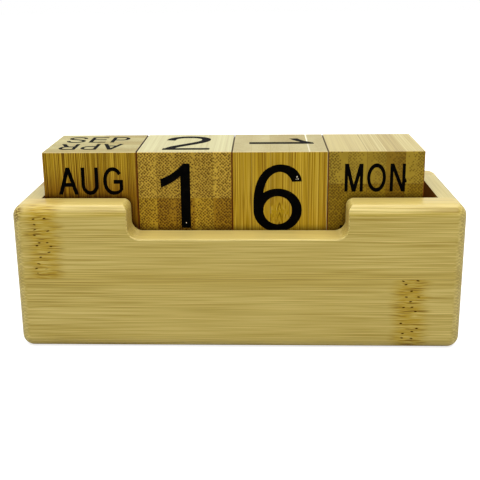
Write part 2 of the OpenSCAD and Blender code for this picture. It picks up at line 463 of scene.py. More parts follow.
def bamboo_material(name, settings, gloss, dull_spots):
    """Bamboo with the group's settings. With dull_spots, joints, pits and raw faces are less glossy."""
    material, s = new_material(name)
    bamboo = s.add("ShaderNodeGroup", settings, node_tree=bamboo_tree)
    s.principled({
        "Base Color": bamboo["Color"],
        "Roughness": bamboo["Roughness"],
        "Normal": bamboo["Normal"],
        "Specular IOR Level": s.times(bamboo["Shine"], gloss) if dull_spots else gloss,
    })
    return material


# Colours of the bamboo, linear: light, ground and dark of the long grain, ground and bundles of the end grain
WOOD_COLOURS = ("Light", "Ground", "Dark", "End", "Bundle")
WOODS = {
    "tray": (
        (0.73, 0.58, 0.175), (0.555, 0.418, 0.084), (0.36, 0.240, 0.008),
        (0.71, 0.57, 0.165), (0.37, 0.25, 0.04),
    ),
    "month": (
        (0.665, 0.465, 0.042), (0.446, 0.283, 0.005), (0.13, 0.055, 0.001),
        (0.48, 0.43, 0.20), (0.25, 0.17, 0.05),
    ),
    "tens": (
        (0.64, 0.61, 0.36), (0.54, 0.50, 0.255), (0.38, 0.30, 0.10),
        (0.54, 0.35, 0.040), (0.07, 0.023, 0.001),
    ),
    "units": (
        (0.66, 0.455, 0.060), (0.475, 0.295, 0.011), (0.19, 0.083, 0.002),
        (0.47, 0.41, 0.205), (0.27, 0.19, 0.06),
    ),
    "weekday": (
        (0.62, 0.55, 0.275), (0.49, 0.40, 0.155), (0.31, 0.21, 0.045),
        (0.37, 0.25, 0.023), (0.05, 0.016, 0.001),
    ),
}
END_COLOURS = ("End", "Bundle")
# How much each of the record's strip slots brightens or darkens the wood, by channel
TONES = {
    "strip_pale": (1.12, 1.13, 1.15),
    "strip_gold": (0.99, 0.98, 0.95),
    "strip_brown": (0.77, 0.68, 0.50),
}
# Painted shade: how much of the tone is left in the lower layer of a cube
LOWER_LAYER_SHADE = {"tens": (0.88, 0.84, 0.48), "weekday": (0.88, 0.82, 0.42)}


def tinted(wood, tone=(1.0, 1.0, 1.0), shares=(1.0, 1.0)):
    """Colours of one strip. Its long grain and its end grain take their shares of the strip's tone."""
    tints = {}
    for name, colour in zip(WOOD_COLOURS, WOODS[wood]):
        share = shares[name in END_COLOURS]
        tints[name] = rgba(tuple(c * t ** share for c, t in zip(colour, tone)))
    return tints


def box_mm(node):
    low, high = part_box(node)
    return low / MM, high / MM


def axis_name(axis):
    return "XYZ"[max(range(3), key=lambda i: axis[i])]


def seams(node, axes, sides):
    """Glue lines of a node along its three axes. sides names the box faces that meet a strip, as '-X'."""
    low, high = box_mm(node)
    lows = [low.dot(axis) if "-" + axis_name(axis) in sides else -FAR for axis in axes]
    highs = [high.dot(axis) if "+" + axis_name(axis) in sides else FAR for axis in axes]
    return {"Seam Low": lows, "Seam High": highs}


def dress(node, gloss, wood, axes, sides, skin_low, skin_share=1.0, dull_spots=False, **settings):
    """Bamboo on one node. axes are its fibre, the way across the strip and its depth. skin_low tells whether
    the dense skin side lies low along the depth, and skin_share over how much of it the bundles thin out."""
    fibre, across, depth = axes
    low, high = box_mm(node)
    values = {
        **BAMBOO_NUMBERS,
        **wood,
        **seams(node, axes, sides),
        "Fibre": fibre,
        "Across": across,
        "Depth": depth,
        "Inside": (0, 0, 0),
        "Frayed At": NOWHERE,
        "Flame At": NOWHERE,
        "Skin At": (low if skin_low else high).dot(depth),
        "Skin Reach": (high - low).dot(depth) * skin_share,
        "Glue": rgba(GLUE),
        "Upright Tint": rgba(EDGE_SHADE),
    }
    values.update({key.replace("_", " ").title(): value for key, value in settings.items()})
    mesh = frame["nodes"][node].data
    mesh.materials.clear()
    mesh.materials.append(bamboo_material(node + "_bamboo", values, gloss, dull_spots))


bamboo_tree = bamboo_group()
# Specular level of the tray and of the duller cubes
TRAY_GLOSS = 0.65
CUBE_GLOSS = 0.1
# Seeds of the boards, the floor and the cubes' strips: the first one and the step to the next
BOARD_SEEDS = (8.9, 4.3)
FLOOR_SEEDS = (41.7, 4.0)
STRIP_SEEDS = (71.9, 7.9)

# Walls of the tray: fibre, depth, whether the outer face lies low along the depth, tone by channel
WALLS = {
    "front_board": (X, Y, True, (1.0, 1.0, 1.0)),
    "back_board": (X, Y, False, (1.0, 1.0, 1.0)),
    "left_end": (Y, X, True, (0.90, 0.95, 1.12)),
    "right_end": (Y, X, False, (0.96, 1.03, 1.5)),
}
# Places of the cane's joints along the boards
BOARD_JOINTS = {
    "front_board_lower": 57.5, "front_board_upper": -64.5, "left_end_upper": 6.0,
    "back_board_lower": -21.0, "back_board_upper": 38.0, "right_end_lower": -5.0,
}
# Length of the tray's streaks, and the rest of its figure
TRAY_RUN = 28.0
BOARD_FIGURE = {
    "run": TRAY_RUN, "fineness": 1.4, "lines": 0.25, "dots": 0.7, "seams": 0.45, "stain": 1.0,
    "streaks": 0.55, "rim_streaks": 0.6, "end_streaks": 0.25,
    "joint_span": 8.0,
    # The corner of the front board where the fibres' ends are frayed
    "frayed_at": (-73.5, -25.0, 48.0),
}
BOARD_SKIN_SHARE = 1.6
# How strongly the top of the front board is painted pale as light
TOP_LIGHTS = {"front_board_upper": 0.22}
for i, (wall, half) in enumerate(product(WALLS, ("lower", "upper"))):
    fibre, depth, skin_low, tone = WALLS[wall]
    node = f"{wall}_{half}"
    sides = ["+Z" if half == "lower" else "-Z"]
    if fibre == Y:
        sides += ["-Y", "+Y"]
    dress(
        node, TRAY_GLOSS, tinted("tray", tone), (fibre, Z, depth), sides, skin_low,
        skin_share=BOARD_SKIN_SHARE,
        dull_spots=True,
        seed=BOARD_SEEDS[0] + BOARD_SEEDS[1] * i,
        joint_at=BOARD_JOINTS.get(node, FAR),
        inside=depth if skin_low else -depth,
        rubbed_top=TOP_LIGHTS.get(node, 0.0),
        **BOARD_FIGURE,
    )
for i, node in enumerate(("floor_front", "floor_rear")):
    dress(
        node, TRAY_GLOSS, tinted("tray"), (X, Y, Z), ("+Y", "-Y"), False,
        seed=FLOOR_SEEDS[0] + FLOOR_SEEDS[1] * i,
        run=TRAY_RUN,
        streaks=0.6,
    )

# Cubes: axis their strips are counted along, axis their layers are stacked along, fibre, layers' names
CUBES = {
    "month": (Y, X, Z, ("left", "right")),
    "tens": (X, Z, Y, ("lower", "upper")),
    "units": (X, Y, Z, ("front", "rear")),
    "weekday": (X, Z, Y, ("lower", "upper")),
}
STRIPS = 5
# Each cube's figure
FIGURE = (
    "streaks", "fineness", "lines", "grime", "seams", "worn_edges", "upright_edges", "dark_foot", "glue",
)
FIGURES = {
    "month": (1.9, 2.4, 0.9, 1.0, 0.6, 0.4, 0.7, 1.0, rgba(FAINT_GLUE)),
    "tens": (0.45, 1.0, 0.1, 0.65, 0.15, 0.6, 0.85, 0.0, rgba(GLUE)),
    "units": (0.9, 1.8, 0.6, 0.65, 1.1, 0.4, 0.7, 0.0, rgba(FAINT_GLUE)),
    "weekday": (0.8, 1.2, 0.3, 0.6, 1.3, 0.3, 0.9, 0.0, rgba(GLUE)),
}
# The shares of a strip's tone that its long grain and its end grain take
TONE_SHARES = {"month": (0.6, 0.6), "tens": (0.3, 1.0), "units": (0.6, 0.4), "weekday": (0.42, 1.0)}
# Strips whose figure differs from their cube's: two with faint streaks, one with a wide pale glue line and
# painted highlights on its upright chamfers
PALE_LINE = "units_strip_5"
STRIP_FIGURES = {
    "weekday_strip_1": {"streaks": 0.3},
    "weekday_strip_2": {"streaks": 0.4},
    PALE_LINE: {"seams": 1.3, "wide_glue": 0.6, "glue": rgba(PALE_GLUE), "upright_tint": rgba(PALE_HIGHLIGHT)},
}
# The side that each strip turns its skin to, low or high along the count, by layer
SKINS = {
    "month": ("lhlhl", "hlhlh"),
    "tens": ("lllhh", "lllhh"),
    "units": ("lhllh", "hlhlh"),
    "weekday": ("lllhh", "llhhh"),
}
# Over how much of a strip the bundles thin out away from its skin, by layer
SKIN_SHARES = {"month": (1.0, 1.0), "tens": (1.7, 1.8), "units": (1.0, 1.0), "weekday": (1.8, 1.0)}
# How strongly the bundles show on the end grain, strip by strip
DOTS = {
    "month": (0.4,) * STRIPS,
    "tens": (0.85, 0.85, 0.9, 0.85, 0.85),
    "units": (0.3,) * STRIPS,
    "weekday": (0.7, 0.5, 0.45, 0.5, 0.6),
}
# Seams between strips whose glue shows, counted from one, on the cube where some don't show it
GLUED = {"weekday": (2,)}
# Strips that show a joint of the cane, with its height, and a flame figure, with its apex
CUBE_JOINTS = {"units_strip_3_front": 45.4}
FLAMES = {"units_strip_3_front": (14.0, -15.1, 48.2)}
slots = {part["node"]: part["material_slot"] for part in frame["record"]["subparts"]}


def dress_strip(cube, strip, level, seed):
    """Bamboo on one strip of a cube, counted from zero, in its first or its second layer."""
    count_axis, layer_axis, fibre, layers = CUBES[cube]
    name = f"{cube}_strip_{strip + 1}"
    node = f"{name}_{layers[level]}"
    sides = []
    if name != PALE_LINE:
        sides.append("+-"[level] + axis_name(layer_axis))
    glued = GLUED.get(cube, range(1, STRIPS))
    if strip in glued:
        sides.append("-" + axis_name(count_axis))
    if strip + 1 in glued:
        sides.append("+" + axis_name(count_axis))
    figure = dict(zip(FIGURE, FIGURES[cube])) | STRIP_FIGURES.get(name, {})
    tone = TONES[slots[node]]
    if level == 0 and cube in LOWER_LAYER_SHADE:
        tone = [a * b for a, b in zip(tone, LOWER_LAYER_SHADE[cube])]
    dress(
        node, CUBE_GLOSS, tinted(cube, tone, TONE_SHARES[cube]), (fibre, layer_axis, count_axis), sides,
        skin_low=SKINS[cube][level][strip] == "l",
        skin_share=SKIN_SHARES[cube][level],
        dull_spots=node in CUBE_JOINTS,
        seed=seed,
        dots=DOTS[cube][strip],
        joint_at=CUBE_JOINTS.get(node, FAR),
        joint_span=4.5,
        joint_sway=1.6,
        flame_at=FLAMES.get(node, NOWHERE),
        **figure,
    )


for i, (cube, strip, level) in enumerate(product(CUBES, range(STRIPS), (0, 1))):
    dress_strip(cube, strip, level, seed=STRIP_SEEDS[0] + STRIP_SEEDS[1] * i)


# Smooth shading on the rounded rims, sharp at the real edges

SHARP_ANGLE = math.radians(28)
WELD_DISTANCE = 0.001 * MM


def smoothing_group():
    tree = bpy.data.node_groups.new("smooth_rims", "GeometryNodeTree")
    for way in ("INPUT", "OUTPUT"):
        tree.interface.new_socket("Geometry", in_out=way, socket_type="NodeSocketGeometry")
    s = Shader(tree)
    given = s.add("NodeGroupInput")[0]
    welded = s.add("GeometryNodeMergeByDistance", {"Geometry": given, "Distance": WELD_DISTANCE})[0]
    inputs = {"Geometry": welded, "Shade Smooth": True}
    rounded = s.add("GeometryNodeSetShadeSmooth", inputs, domain="FACE")[0]
    angle = s.add("GeometryNodeInputMeshEdgeAngle")["Unsigned Angle"]
    sharp = s.math("GREATER_THAN", angle, SHARP_ANGLE)
    inputs = {"Geometry": rounded, "Selection": sharp, "Shade Smooth": False}
    creased = s.add("GeometryNodeSetShadeSmooth", inputs, domain="EDGE")[0]
    s.add("NodeGroupOutput", {0: creased})
    return tree


smooth_rims = smoothing_group()
for piece in frame["nodes"].values():
    piece.modifiers.new("smooth_rims", "NODES").node_group = smooth_rims


# Glyphs: a plain grotesque, drawn in units of the capital height

# Degrees between the points of a bow, and how far round letters reach beyond the straight ones
BOW_STEP = 7
OVERSHOOT = 0.012


class Pen:
    """Collects the shapes of one glyph. Upright, level and even, their mean, are the stroke widths."""

    def __init__(self, upright, level):
        self.upright = upright
        self.level = level
        self.even = (upright + level) / 2
        self.shapes = []

    def shape(self, points):
        self.shapes.append(points)

    def box(self, x0, y0, x1, y1):
        self.shape([(x0, y0), (x1, y0), (x1, y1), (x0, y1)])

    def stem(self, x, y0=0.0, y1=1.0):
        self.box(x, y0, x + self.upright, y1)

    def bar(self, y, x0, x1):
        self.box(x0, y, x1, y + self.level)

    def slope(self, x0, y0, x1, y1, width):
        """Slanted stroke with level ends: its left side runs from (x0, y0) to (x1, y1)."""
        self.shape([(x0, y0), (x0 + width, y0), (x1 + width, y1), (x1, y1)])

    def bow(self, x, y, rx, ry, start, end):
        """Part of an oval ring, from one angle to another in degrees."""
        steps = round(abs(end - start) / BOW_STEP)
        turns = [math.radians(start + (end - start) * i / steps) for i in range(steps + 1)]
        outer = [(x + rx * math.cos(t), y + ry * math.sin(t)) for t in turns]
        inner = [(x + (rx - self.upright) * math.cos(t), y + (ry - self.level) * math.sin(t)) for t in turns]
        self.shape(outer + inner[::-1])

    def ring(self, x, y, rx, ry):
        self.bow(x, y, rx, ry, -90, 90)
        self.bow(x, y, rx, ry, 90, 270)

    def lobe(self, y0, y1, right, reach):
        """Bowl that closes on a stem at the left."""
        self.bar(y0, 0, right - reach)
        self.bar(y1 - self.level, 0, right - reach)
        self.bow(right - reach, (y0 + y1) / 2, reach, (y1 - y0) / 2, -90, 90)

    def sweep(self, points):
        """Stroke of even width along a smooth line through the points."""
        line = smooth_line(points)
        left = []
        right = []
        for i, (x, y) in enumerate(line):
            before = line[max(i - 1, 0)]
            after = line[min(i + 1, len(line) - 1)]
            way = Vector(after) - Vector(before)
            side = Vector((-way.y, way.x)).normalized() * self.even / 2
            left.append((x + side.x, y + side.y))
            right.append((x - side.x, y - side.y))
        self.shape(right + left[::-1])


def smooth_line(points, steps=7):
    """Curve through the points, with even tangents at each of them."""
    ends = [points[0], *points, points[-1]]
    line = []
    for i in range(1, len(ends) - 2):
        p0, p1, p2, p3 = (Vector(ends[k]) for k in range(i - 1, i + 3))
        for step in range(steps):
            t = step / steps
            bend = 2 * p1 + (p2 - p0) * t + (2 * p0 - 5 * p1 + 4 * p2 - p3) * t * t
            bend = bend + (3 * p1 - p0 - 3 * p2 + p3) * t * t * t
            line.append(tuple(bend / 2))
    line.append(tuple(points[-1]))
    return line


def draw_a(p, w):
    leg = 1.12 * p.upright
    p.slope(0, 0, w / 2 - 0.085, 1, leg)
    p.slope(w - leg, 0, w / 2 + 0.085 - leg, 1, leg)
    p.bar(0.29, 0.2, w - 0.2)


def draw_b(p, w):
    p.stem(0)
    p.lobe(0.455, 1, w - 0.05, 0.28)
    p.lobe(0, 0.455 + p.level, w, 0.30)


def draw_c(p, w):
    p.bow(w / 2, 0.5, w / 2, 0.5 + OVERSHOOT, 34, 326)


def draw_d(p, w):
    p.stem(0)
    p.lobe(0, 1, w, 0.42)


def draw_e(p, w):
    p.stem(0)
    p.bar(0, 0, w)
    p.bar(0.46, 0, w - 0.05)
    p.bar(1 - p.level, 0, w - 0.02)


def draw_f(p, w):
    p.stem(0)
    p.bar(0.44, 0, w - 0.08)
    p.bar(1 - p.level, 0, w)


def draw_g(p, w):
    top = 0.40 + p.level
    inner = w - 0.95 * p.upright
    p.bow(w / 2, 0.5, w / 2, 0.5 + OVERSHOOT, 34, 270)
    p.bar(0.40, 0.53 * w, w)
    foot = p.level - OVERSHOOT
    outer_turn = smooth_line([(w / 2, -OVERSHOOT), (0.72 * w, 0.015), (0.88 * w, 0.085), (w, 0.18)])
    inner_turn = smooth_line([(inner, 0.235), (0.8 * w, 0.17), (0.68 * w, 0.13), (w / 2, foot)])
    p.shape([*outer_turn, (w, top), (inner, top), *inner_turn])


def draw_h(p, w):
    p.stem(0)
    p.stem(w - p.upright)
    p.bar(0.46, 0, w)


def draw_i(p, w):
    p.stem(0)


def draw_j(p, w):
    p.stem(w - p.upright, 0.28)
    p.bow(w / 2, 0.28, w / 2, 0.28 + OVERSHOOT, 190, 360)


def draw_l(p, w):
    p.stem(0)
    p.bar(0, 0, w)


def draw_m(p, w):
    leg = 1.15 * p.upright
    p.stem(0)
    p.stem(w - p.upright)
    p.slope(w / 2 - leg / 2, 0, 0.01, 1, leg)
    p.slope(w / 2 - leg / 2, 0, w - leg - 0.01, 1, leg)


def draw_n(p, w):
    leg = 1.16 * p.upright
    p.stem(0)
    p.stem(w - p.upright)
    p.slope(w - leg, 0, 0, 1, leg)


def draw_o(p, w):
    p.ring(w / 2, 0.5, w / 2, 0.5 + OVERSHOOT)


def draw_p(p, w):
    p.stem(0)
    p.lobe(0.40, 1, w, 0.31)


def draw_r(p, w):
    p.stem(0)
    p.lobe(0.44, 1, w - 0.08, 0.29)
    leg = 1.25 * p.upright
    p.slope(w - leg, 0, 0.40, 0.46, leg)


def draw_s(p, w):
    spine = (
        (0.92, 0.70), (0.87, 0.85), (0.70, 0.935), (0.48, 0.953), (0.25, 0.92), (0.11, 0.82), (0.10, 0.70),
        (0.21, 0.605), (0.48, 0.535), (0.77, 0.455), (0.92, 0.345), (0.93, 0.22), (0.80, 0.10), (0.52, 0.047),
        (0.25, 0.085), (0.11, 0.19), (0.07, 0.315),
    )
    p.sweep([(x * w, y) for x, y in spine])


def draw_t(p, w):
    p.stem(w / 2 - p.upright / 2)
    p.bar(1 - p.level, 0, w)


def draw_u(p, w):
    p.stem(0, 0.34)
    p.stem(w - p.upright, 0.34)
    p.bow(w / 2, 0.35, w / 2, 0.35 + OVERSHOOT, 180, 360)


def draw_v(p, w):
    leg = 1.1 * p.upright
    p.slope(w / 2 - leg / 2, 0, 0, 1, leg)
    p.slope(w / 2 - leg / 2, 0, w - leg, 1, leg)


def draw_w(p, w):
    leg = 1.05 * p.upright
    for x0, x1 in ((0.27, 0.0), (0.27, 0.5), (0.73, 0.5), (0.73, 1.0)):
        p.slope(x0 * w - leg / 2, 0, x1 * (w - leg), 1, leg)


def draw_y(p, w):
    leg = 1.16 * p.upright
    p.stem(w / 2 - p.upright / 2, 0, 0.46)
    p.slope(w / 2 - leg / 2, 0.40, 0, 1, leg)
    p.slope(w / 2 - leg / 2, 0.40, w - leg, 1, leg)


def draw_0(p, w):
    p.ring(w / 2, 0.5, w / 2, 0.51)


def draw_1(p, w):
    stem = w - p.upright
    upper = smooth_line([(0.353, 1.0), (0.251, 0.905), (0.133, 0.822), (0.0, 0.762)])
    lower = smooth_line([(0.006, 0.631), (0.133, 0.688), (0.235, 0.752), (stem, 0.808)])
    p.shape([(stem, 0.70), (w, 0.70), (w, 1.0), *upper, *lower])
    p.stem(stem, 0.0, 0.75)


def draw_2(p, w):
    spine = (
        (0.075, 0.70), (0.105, 0.83), (0.21, 0.925), (0.345, 0.947), (0.48, 0.92), (0.575, 0.83),
        (0.595, 0.72), (0.555, 0.60), (0.45, 0.475), (0.30, 0.335), (0.165, 0.20), (0.10, 0.07),
    )
    p.sweep(spine)
    p.bar(0, 0.02, w)


def draw_3(p, w):
    upper = (
        (0.07, 0.73), (0.13, 0.87), (0.31, 0.947), (0.48, 0.90), (0.56, 0.765), (0.48, 0.61), (0.27, 0.548),
    )
    lower = (
        (0.27, 0.545), (0.50, 0.50), (0.615, 0.36), (0.61, 0.23), (0.51, 0.10), (0.32, 0.052), (0.15, 0.11),
        (0.06, 0.26),
    )
    p.sweep(upper)
    p.sweep(lower)


def draw_4(p, w):
    p.stem(0.45)
    p.bar(0.235, 0, w)
    p.slope(0, 0.245, 0.425, 1, 0.16)


def draw_5(p, w):
    p.bar(1 - p.level, 0.13, w - 0.04)
    p.slope(0.045, 0.475, 0.14, 1, 0.125)
    bowl = (
        (0.09, 0.50), (0.20, 0.60), (0.34, 0.632), (0.50, 0.585), (0.60, 0.45), (0.61, 0.30), (0.54, 0.14),
        (0.42, 0.065), (0.30, 0.052), (0.16, 0.10), (0.06, 0.26),
    )
    p.sweep(bowl)


def draw_6(p, w):
    outer = smooth_line((
        (0.0, 0.31), (0.0, 0.45), (0.016, 0.60), (0.062, 0.76), (0.155, 0.901), (0.275, 0.977), (0.385, 1.0),
        (0.503, 0.985), (0.612, 0.928), (0.68, 0.84), (0.708, 0.748),
    ))
    inner = smooth_line((
        (0.563, 0.742), (0.532, 0.805), (0.475, 0.862), (0.392, 0.89), (0.305, 0.868), (0.226, 0.80),
        (0.178, 0.71), (0.15, 0.60), (0.145, 0.50), (0.15, 0.31),
    ))
    p.shape(outer + inner)
    p.ring(0.3555, 0.313, 0.3555, 0.328)


def draw_7(p, w):
    p.bar(1 - p.level, 0, w)
    p.sweep(((w - 0.075, 0.955), (0.47, 0.76), (0.345, 0.53), (0.265, 0.28), (0.24, 0.0)))


def draw_8(p, w):
    p.ring(w / 2, 0.737, 0.295, 0.275)
    p.ring(w / 2, 0.277, w / 2, 0.288)


# Each glyph: how it is drawn, its width, and the room at its left and right
GLYPHS = {
    "A": (draw_a, 0.93, 0, 0),
    "B": (draw_b, 0.75, 0.108, 0.05),
    "C": (draw_c, 0.90, 0.068, 0.05),
    "D": (draw_d, 0.83, 0.108, 0.06),
    "E": (draw_e, 0.73, 0.108, 0.06),
    "F": (draw_f, 0.66, 0.108, 0.04),
    "G": (draw_g, 0.92, 0.07, 0.09),
    "H": (draw_h, 0.79, 0.11, 0.11),
    "I": (draw_i, 0.135, 0.125, 0.125),
    "J": (draw_j, 0.56, 0.03, 0.10),
    "L": (draw_l, 0.62, 0.10, 0.03),
    "M": (draw_m, 0.957, 0.105, 0.105),
    "N": (draw_n, 0.80, 0.107, 0.107),
    "O": (draw_o, 0.98, 0.068, 0.068),
    "P": (draw_p, 0.76, 0.108, 0.06),
    "R": (draw_r, 0.87, 0.108, 0.01),
    "S": (draw_s, 0.78, 0.063, 0.063),
    "T": (draw_t, 0.79, 0.03, 0.03),
    "U": (draw_u, 0.80, 0.108, 0.108),
    "V": (draw_v, 0.92, 0, 0),
    "W": (draw_w, 1.30, 0.01, 0.01),
    "Y": (draw_y, 0.91, 0, 0),
    "0": (draw_0, 0.69, 0, 0),
    "1": (draw_1, 0.45, 0, 0),
    "2": (draw_2, 0.68, 0, 0),
    "3": (draw_3, 0.69, 0, 0),
    "4": (draw_4, 0.73, 0, 0),
    "5": (draw_5, 0.69, 0, 0),
    "6": (draw_6, 0.711, 0, 0),
    "7": (draw_7, 0.66, 0, 0),
    "8": (draw_8, 0.69, 0, 0),
}
TRACKING = 0.04
# Points closer than this, in millimetres, become one
SAME_POINT = 1e-5


def word_shapes(word, height, width, middle, foot, turn, stroke):
    """Shapes of a word in millimetres on a cube's face, squeezed into a width and turned about its centre."""
    shapes = []
    x = 0.0
    room = 0.0
    for i, letter in enumerate(word):
        draw, glyph_width, left, right = GLYPHS[letter]
        if i > 0:
            x += room + left + TRACKING
        pen = Pen(*stroke)
        draw(pen, glyph_width)
        shapes += [[(x + px, py) for px, py in points] for points in pen.shapes]
        x += glyph_width
        room = right
    across = min(height, width / x)
    angle = Matrix.Rotation(math.radians(turn), 2)
    placed = []
    for points in shapes:
        flat = [Vector(((px - x / 2) * across + middle, py * height + foot)) for px, py in points]
        placed.append([angle @ point for point in flat])
    return placed


def joined(shapes, holes):
    """One flat mesh of all the shapes, without the holes: its points and triangles."""
    points = []
    outlines = []
    for outline in shapes + holes:
        start = len(points)
        outline = [Vector(point) for point in outline]
        turning = sum(a.cross(b) for a, b in zip(outline, outline[1:] + outline[:1]))
        points += outline if turning > 0 else outline[::-1]
        outlines.append(list(range(start, len(points))))
    corners, _, triangles, _, _, sources = delaunay_2d_cdt(points, [], outlines, 0, SAME_POINT)
    first_hole = len(shapes)
    kept = [t for t, source in zip(triangles, sources) if source and max(source) < first_hole]
    return corners, kept


def ink_piece(name, corners, triangles, centre, right, up):
    """Thin sheet of ink on a face with the given centre, right and up directions."""
    out = right.cross(up)
    mesh = bmesh.new()
    points = [mesh.verts.new((centre + right * c.x + up * c.y) * MM) for c in corners]
    for triangle in triangles:
        mesh.faces.new([points[i] for i in triangle])
    loose = [v for v in mesh.verts if not v.link_faces]
    bmesh.ops.delete(mesh, geom=loose, context="VERTS")
    bmesh.ops.dissolve_limit(mesh, angle_limit=0.01, verts=mesh.verts, edges=mesh.edges)
    bmesh.ops.recalc_face_normals(mesh, faces=mesh.faces)
    grown = bmesh.ops.extrude_face_region(mesh, geom=mesh.faces[:], use_keep_orig=True)["geom"]
    raised = [item for item in grown if isinstance(item, bmesh.types.BMVert)]
    bmesh.ops.translate(mesh, verts=raised, vec=out * INK_THICKNESS * MM)
    bmesh.ops.recalc_face_normals(mesh, faces=mesh.faces)
    data = bpy.data.meshes.new(name)
    mesh.to_mesh(data)
    mesh.free()
    return new_object(name, data)


# Ink: how far it stands proud of the wood in millimetres, its colours where it is thick and thin
INK_THICKNESS = 0.02
INK_THICK = (0.0015, 0.0014, 0.0014)
INK_THIN = (0.009, 0.007, 0.005)
# Pitches of its clouds and its grain in millimetres, their shares, and the span over which it thins
INK_PITCHES = (2.0, 0.25)
INK_SHARES = (0.3, 0.7)
INK_SPAN = (0.5, 0.72)
INK_ROUGHNESS = (0.2, 0.30)
INK_GLOSS = 0.003
# Broken fibre under a chip: its two colours, and how often its noise repeats per millimetre
FIBRE_COLOURS = ((0.55, 0.45, 0.25), (1.0, 0.97, 0.85))
FIBRE_NOISE = (5.0, 5.0, 1.2)


def ink_material():
    """Black screen-print ink, thinner where the grain comes through."""
    material, s = new_material("black_print")
    place = s.place()
    cloud = s.noise(place, pitch=INK_PITCHES[0])
    grain = s.noise(place, detail=3.0, pitch=INK_PITCHES[1])
    thin = s.rise(s.total(s.times(grain, INK_SHARES[1]), s.times(cloud, INK_SHARES[0])), *INK_SPAN)
    bump = s.add("ShaderNodeBump", {"Strength": 0.25, "Distance": INK_THICKNESS * MM, "Height": grain})
    s.principled({
        "Base Color": s.mix(thin, rgba(INK_THICK), rgba(INK_THIN)),
        "Roughness": s.scaled(grain, *INK_ROUGHNESS),
        "Normal": bump[0],
        "Specular IOR Level": INK_GLOSS,
    })
    return material


def bare_fibre_material():
    """Pale broken fibre where the ink chipped off."""
    material, s = new_material("bare_fibre")
    grain = s.noise(s.vector_math("MULTIPLY", s.place(), FIBRE_NOISE))
    colour = s.mix(grain, *(rgba(colour) for colour in FIBRE_COLOURS))
    s.principled({"Base Color": colour, "Roughness": 0.7, "Specular IOR Level": 0.1})
    return material


# Faces of a cube: outward direction, reading direction, up direction
FACES = {
    "front": (-Y, X, Z),
    "right": (X, Y, Z),
    "back": (Y, -X, Z),
    "left": (-X, -Y, Z),
    "top": (Z, X, Y),
    "bottom": (-Z, X, -Y),
}

# Words by face, the second one upside down
WORD_FACES = {
    "month": {
        "front": ("AUG", "MAR"), "top": ("SEP", "APR"), "back": ("OCT", "MAY"),
        "bottom": ("JUL", "FEB"), "left": ("JUN", "JAN"), "right": ("DEC", "NOV"),
    },
    "weekday": {
        "front": ("MON", "SAT"), "right": ("TUE", "SUN"),
        "back": ("WED",), "left": ("THU",), "bottom": ("FRI",),
    },
}
# Height, width, middle beside the face's centre and foot above it, of the first and of the second word
WORD_LINES = {
    "month": ((9.4, 22.15, 0.1, 1.35), (9.4, 22.15, 0.1, 1.35)),
    "weekday": ((9.55, 20.2, -0.4, 2.2), (9.55, 22.0, 0.7, 1.4)),
}
TOP_MONTH_LINES = ((10.1, 22.15, -0.7, 1.35), (10.1, 22.15, 1.4, 1.35))
WORD_TURNS = (0, 180)
# Digits by face, and the turn and the middle of those that are turned or off the face's centre
DIGIT_FACES = {
    "tens": {"front": "1", "top": "2", "right": "3", "back": "4", "left": "0", "bottom": "5"},
    "units": {"front": "6", "top": "1", "right": "8", "back": "2", "left": "7", "bottom": "0"},
}
DIGIT_PLACES = {
    ("tens", "front"): (0, -3.25),
    ("tens", "top"): (0, -0.05),
    ("units", "front"): (0, -0.75),
    ("units", "top"): (-90, -2.5),
}
# Stroke widths, upright and level, in shares of the height
WORD_STROKE = (0.164, 0.142)
DIGIT_STROKE = (0.146, 0.115)
# Height and foot of the digits, in millimetres from the face's centre
DIGIT_SIZE = {"1": (22.5, -10.5), "2": (24.4, -12.3), "6": (23.15, -11.55)}
PLAIN_DIGIT = (22.8, -11.2)


def flake(x, y, size, corners=6, raggedness=0.3):
    """Small ragged spot, for ink that chipped off or bled."""
    outline = []
    for i in range(corners):
        turn = 2 * math.pi * i / corners
        reach = size * (1 - raggedness + raggedness * math.sin(3.7 * i + x))
        outline.append(Vector((x + reach * math.cos(turn), y + reach * math.sin(turn))))
    return outline


# Chips in the ink by cube and face, and ink that bled beside MON
CHIPS = {
    ("tens", "front"): [flake(0.2, -8.7, 0.3)],
    ("units", "front"): [flake(5.75, 7.35, 0.4), flake(6.1, 6.6, 0.34), flake(5.45, 6.5, 0.24)],
}
BLEEDS = {("weekday", "front"): [flake(9.75, 5.7, 0.75), flake(9.7, 6.4, 0.5)]}
ink = ink_material()
bare_fibre = bare_fibre_material()


def print_face(cube, face, shapes):
    """Ink on one face of a cube, with bleeds, and with chips that bare the fibre."""
    first, second = CUBES[cube][3]
    low, _ = box_mm(f"{cube}_strip_1_{first}")
    _, high = box_mm(f"{cube}_strip_{STRIPS}_{second}")
    out, right, up = FACES[face]
    half = (high.x - low.x) / 2
    centre = (low + high) / 2 + out * half
    chips = CHIPS.get((cube, face), [])
    sheets = [("print", shapes + BLEEDS.get((cube, face), []), chips, ink, "black_ink")]
    if chips:
        sheets.append(("chips", chips, [], bare_fibre, "strip_pale"))
    for label, outlines, gaps, coat, slot in sheets:
        corners, triangles = joined(outlines, gaps)
        piece = ink_piece(f"{cube}_{label}_{face}", corners, triangles, centre, right, up)
        piece.data.materials.append(coat)
        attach(piece, f"{cube}_cube")


